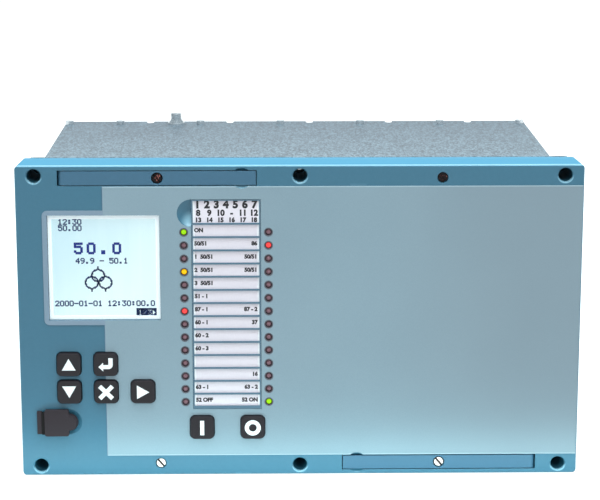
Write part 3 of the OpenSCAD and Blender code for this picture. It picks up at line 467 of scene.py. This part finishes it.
def lettering(name, words, y, body, material, rear=False):
    """Words as (text, x, z of the baseline, height, side it starts from, boldness), facing front or rear."""
    bm = bmesh.new()
    turn = Matrix.Rotation(math.pi / 2, 4, "X")
    if rear:
        turn = Matrix.Rotation(math.pi, 4, "Z") @ turn
    for text, x, z, height, side, bold in words:
        curve = bpy.data.curves.new("words", "FONT")
        curve.body = text
        curve.size = height * MM / CAPITAL_SHARE
        curve.align_x = side
        curve.offset = bold * MM
        curve.resolution_u = 3
        holder = bpy.data.objects.new("words", curve)
        bpy.context.scene.collection.objects.link(holder)
        mesh = bpy.data.meshes.new_from_object(holder)
        mesh.transform(Matrix.Translation((x * MM, y * MM, z * MM)) @ turn)
        bm.from_mesh(mesh)
        bpy.data.objects.remove(holder)
        bpy.data.meshes.remove(mesh)
        bpy.data.curves.remove(curve)
    finished(name, bm, body, material)


# Display dots

GLYPHS = {
    "0": "01110 10001 10001 10001 10001 10001 01110",
    "1": "00100 01100 00100 00100 00100 00100 01110",
    "2": "01110 10001 00001 00010 00100 01000 11111",
    "3": "11111 00010 00100 00010 00001 10001 01110",
    "4": "00010 00110 01010 10010 11111 00010 00010",
    "5": "11111 10000 11110 00001 00001 10001 01110",
    "6": "00110 01000 10000 11110 10001 10001 01110",
    "7": "11111 00001 00010 00100 01000 01000 01000",
    "8": "01110 10001 10001 01110 10001 10001 01110",
    "9": "01110 10001 10001 01111 00001 00010 01100",
    "-": "00000 00000 00000 11111 00000 00000 00000",
    "/": "00000 00001 00010 00100 01000 10000 00000",
    ":": "00000 01100 01100 00000 01100 01100 00000",
    ".": "00000 00000 00000 00000 00000 01100 01100",
    ">": "10000 11000 11100 11110 11100 11000 10000",
}


def typed(text, column, row, grow=1, pitch=6):
    """The dots of a line of text, from its upper left dot."""
    dots = set()
    for n, letter in enumerate(text):
        for r, bits in enumerate(GLYPHS.get(letter, "").split()):
            for c, bit in enumerate(bits):
                if bit == "1":
                    dots |= {(column + n * pitch * grow + c * grow + i, row + r * grow + j)
                             for i in range(grow) for j in range(grow)}
    return dots


def circled(column, row, r):
    """The dots of a circle."""
    return {(round(x), round(z)) for x, z in arc(column, row, r, 0, 360, 90)}


dots = typed("12:30", 8, 0) | typed("50.00", 8, 8)
big = typed("50.0", 27, 30, 2, 8)
big |= {(column + i, row + j) for column, row in big for i in (0, 1) for j in (0, 1)}
dots |= typed("49.9 - 50.1", 29, 50)
symbol = {(56, r) for r in range(61, 65)} | {(c, r) for c in (48, 65) for r in range(89, 93)}
for column, row in ((56, 72), (48, 81), (65, 81)):
    symbol |= circled(column, row, 7.7)
dots |= typed("2000-01-01 12:30:00.0", 2, 105)
page = typed("1/3>", 106, 117)
dots |= {(c, r) for c in range(104, 129) for r in range(115, 125)} - page

glass_low, glass_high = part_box("display_glass")
DOT, DOT_MARGIN = 0.44, 0.3
DOT_RELIEF = 0.04
inks = (
    ("display_dots", dots, 0.34, shade(12, 52, 124), shade(6, 40, 106)),
    ("display_symbol", symbol, 0.42, shade(10, 46, 128), shade(6, 36, 108)),
    ("display_heading", big, 0.27, shade(0, 46, 158), shade(0, 34, 136)),
)
for name, cells, half, ink, darker in inks:
    bm = bmesh.new()
    for column, row in sorted(cells):
        x = glass_low.x / MM + DOT_MARGIN + column * DOT
        z = glass_high.z / MM - DOT_MARGIN - row * DOT
        y = glass_low.y / MM
        square = [(x + a * half, z + b * half) for a, b in ((-1, -1), (1, -1), (1, 1), (-1, 1))]
        slab(bm, square, y - DOT_RELIEF, y)
    finished(name, bm, "unit", printed(name, ink, darker, 0.4))


# Legend, with plain numbers

PRINT_PROUD = 0.02
card_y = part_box("legend_card")[0].y / MM - PRINT_PROUD
rows = [("ON", ""), ("50/51", "86"), ("1  50/51", "50/51"), ("2  50/51", "50/51"), ("3  50/51", ""),
        ("51 - 1", ""), ("87 - 1", "87 - 2"), ("60 - 1", "37"), ("60 - 2", ""), ("60 - 3", ""), ("", ""),
        ("", "16"), ("63 - 1", "63 - 2"), ("52 OFF", "52 ON")]
header = (
    ("1 2 3 4 5 6 7", -15.6, 5.2, 64.9, 4.3, 0.34),
    ("8 9 10 - 11 12", -15.2, 6.1, 60.6, 3.3, 0.25),
    ("13 14 15 16 17 18", -15.2, 6.1, 57.0, 2.5, 0.21),
)
ROW_LEFT, ROW_RIGHT = LEGEND_X - 17.5, LEGEND_X + 17.0
ROW_HEIGHT, ROW_BOLD, ROW_DROP = 2.25, 0.2, 0.05
words = []
for n, (left, right) in enumerate(rows):
    z = LED_TOP - n * LED_PITCH - ROW_DROP
    words.append((left, ROW_LEFT, z, ROW_HEIGHT, "LEFT", ROW_BOLD))
    words.append((right, ROW_RIGHT, z, ROW_HEIGHT, "RIGHT", ROW_BOLD))
for line, start, pitch, z, height, bold in header:
    for n, number in enumerate(line.split()):
        words.append((number, LEGEND_X + start + pitch * n, z, height, "CENTER", bold))
lettering("legend_numbers", [w for w in words if w[0]], card_y, "unit",
          printed("legend_ink", shade(24, 20, 26), shade(14, 12, 16), 0.6))


# Rims of the lamp windows

RIM_INNER, RIM_OUTER = 1.95, 2.5
bm = bmesh.new()
for x in LED_X:
    for n in range(LED_ROWS):
        ring(bm, x, LED_TOP - n * LED_PITCH, RIM_INNER, RIM_OUTER, FRONT_Y - 0.05, FRONT_Y + 0.4)
finished("lamp_rims", bm, "unit",
         moulded("lamp_rims", shade(78, 78, 86), shade(96, 96, 104), 0.5, 0.3, 0.01, 0.12))


# Icons let into the keys

def key_middle(name):
    """Middle of a key's front face: x, z and y."""
    low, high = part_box(name)
    return (low.x + high.x) / 2 / MM, (low.z + high.z) / 2 / MM, low.y / MM


ICONS = {
    "key_up": [[(-3.85, -3.1), (3.85, -3.1), (0, 3.6)]],
    "key_down": [[(-3.85, 3.6), (0, -3.1), (3.85, 3.6)]],
    "key_right": [[(-3.3, -3.9), (3.6, 0), (-3.3, 3.9)]],
    "key_enter": [[(-4.0, -1.2), (-1.3, -3.7), (-1.3, -2.35)] + arc(1.6, 0.05, 2.4, -90, 0, 6)
                  + [(4.0, 3.9), (1.6, 3.9), (1.6, 0.5)] + arc(1.1, 0.5, 0.5, 0, -90, 3)
                  + [(-1.3, 0.0), (-1.3, 1.3)]],
    "key_cancel": [[(-4.4, 2.7), (-1.7, 0), (-4.4, -2.7), (-2.7, -4.4), (0, -1.7), (2.7, -4.4), (4.4, -2.7),
                    (1.7, 0), (4.4, 2.7), (2.7, 4.4), (0, 1.7), (-2.7, 4.4)]],
    "key_closing": [[(-1.1, -4.2), (1.1, -4.2), (1.1, 4.2), (-1.1, 4.2)]],
    "key_opening": [],
}
ICON_PROUD, ICON_SUNK = 0.06, 0.02
icon_white = printed("icon_white", shade(250, 250, 250), shade(238, 238, 240), 0.45)
for key, outlines in ICONS.items():
    x, z, y = key_middle(key)
    bm = bmesh.new()
    for outline in outlines:
        slab(bm, [(x + px, z + pz) for px, pz in outline], y - ICON_PROUD, y + ICON_SUNK)
    if key == "key_opening":
        ring(bm, x, z, 2.2, 4.45, y - ICON_PROUD, y + ICON_SUNK, 48)
    finished(key + "_icon", bm, key, icon_white)


# Numbers beside the rear terminals

TERMINAL_BLOCKS, TERMINAL_ROWS, TERMINAL_PITCH = 5, 14, 9.6
NUMBER_ASIDE, NUMBER_HEIGHT, NUMBER_BOLD, NUMBER_Y = 20.2, 2.5, 0.06, 199.22
NUMBER_DROP = 1.2
words = []
for n in range(1, TERMINAL_BLOCKS + 1):
    low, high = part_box(f"terminal_block_{n}")
    x = (low.x + high.x) / 2 / MM
    for i in range(TERMINAL_ROWS):
        z = ((TERMINAL_ROWS - 1) / 2 - i) * TERMINAL_PITCH - NUMBER_DROP
        words.append((str(2 * i + 1), x + NUMBER_ASIDE, z, NUMBER_HEIGHT, "CENTER", NUMBER_BOLD))
        words.append((str(2 * i + 2), x - NUMBER_ASIDE, z, NUMBER_HEIGHT, "CENTER", NUMBER_BOLD))
lettering("terminal_numbers", words, NUMBER_Y, "case",
          printed("terminal_ink", shade(226, 228, 228), shade(206, 208, 208), 0.6), rear=True)


# Floor, light and camera

FLOOR_Z = -88.6
CAMERA_DOWN, CAMERA_RIGHT = 11.84, 0.83
bm = bmesh.new()
bmesh.ops.create_grid(bm, x_segments=24, y_segments=24, size=8)
mesh = bpy.data.meshes.new("floor")
bm.to_mesh(mesh)
bm.free()
floor = bpy.data.objects.new("floor", mesh)
floor.location.z = FLOOR_Z * MM
bpy.context.scene.collection.objects.link(floor)
ground = Finish("floor_paper")
paper = ground.grain(4, 2)
ground.surface(ground.mix(paper, (0.31, 0.32, 0.33, 1), (0.33, 0.34, 0.35, 1)), 0.7)
lit = ground.node("BsdfDiffuse", inputs={"Color": (0.3, 0.3, 0.3, 1)})
bright = ground.node("Emission", inputs={"Color": (1, 1, 1, 1), "Strength": 0.9})
seen = ground.node("AddShader", inputs={0: lit.outputs[0], 1: bright.outputs[0]})
path = ground.node("LightPath").outputs
look = Number(ground, path["Is Camera Ray"]) + path["Is Glossy Ray"] + path["Is Transmission Ray"]
blend = ground.node("MixShader", inputs={0: look, 1: ground.shader.outputs[0], 2: seen.outputs[0]})
ground.feed(ground.tree.nodes["Material Output"].inputs["Surface"], blend.outputs[0])
mesh.materials.append(ground.material)

world = bpy.data.worlds.new("studio")
world.use_nodes = True
bpy.context.scene.world = world
tree = world.node_tree
tree.nodes.clear()
path = tree.nodes.new("ShaderNodeLightPath")
strength = tree.nodes.new("ShaderNodeMapRange")
strength.inputs["To Min"].default_value = 1.0
strength.inputs["To Max"].default_value = 0.38
tree.links.new(path.outputs["Is Diffuse Ray"], strength.inputs["Value"])
background = tree.nodes.new("ShaderNodeBackground")
background.inputs["Color"].default_value = (1, 1, 1, 1)
tree.links.new(strength.outputs[0], background.inputs["Strength"])
output = tree.nodes.new("ShaderNodeOutputWorld")
tree.links.new(background.outputs[0], output.inputs["Surface"])


def area_light(name, place, target, width, height, power, colour, mirrored=True):
    """A rectangular light that is aimed at a target and may show in mirroring surfaces."""
    data = bpy.data.lights.new(name, "AREA")
    data.shape = "RECTANGLE"
    data.size = width
    data.size_y = height
    data.energy = power
    data.color = colour
    light = bpy.data.objects.new(name, data)
    light.location = place
    light.rotation_euler = (Vector(target) - Vector(place)).to_track_quat("-Z", "Y").to_euler()
    light.visible_camera = False
    light.visible_glossy = mirrored
    bpy.context.scene.collection.objects.link(light)


area_light("overhead", (0, -0.05, 1.5), (0, -0.05, 0), 1.8, 1.4, 86, (0.76, 0.96, 1.0), False)
area_light("overhead_strip", (0, -0.02, 1.5), (0, -0.02, 0), 1.7, 0.12, 6, (0.84, 0.98, 1.0))
area_light("front_high", (0.25, -1.4, 1.45), (0, 0, 0), 0.6, 0.5, 11.5, (0.97, 0.98, 0.98))
area_light("table_glow", (0, -0.058, -0.086), (0, 0, -0.086), 0.36, 0.012, 0.125, (0.66, 1.0, 1.0), False)

camera_data = bpy.data.cameras.new("camera")
camera_data.lens = 115.9
camera_data.sensor_width = 36
camera_data.shift_y = -0.08
camera_data.clip_end = 60
camera = bpy.data.objects.new("camera", camera_data)
camera.location = (-0.015, -1.064, 0.285)
camera.rotation_euler = (math.radians(90 - CAMERA_DOWN), 0, math.radians(-CAMERA_RIGHT))
bpy.context.scene.collection.objects.link(camera)
bpy.context.scene.camera = camera
bpy.context.scene.view_settings.view_transform = "Standard"
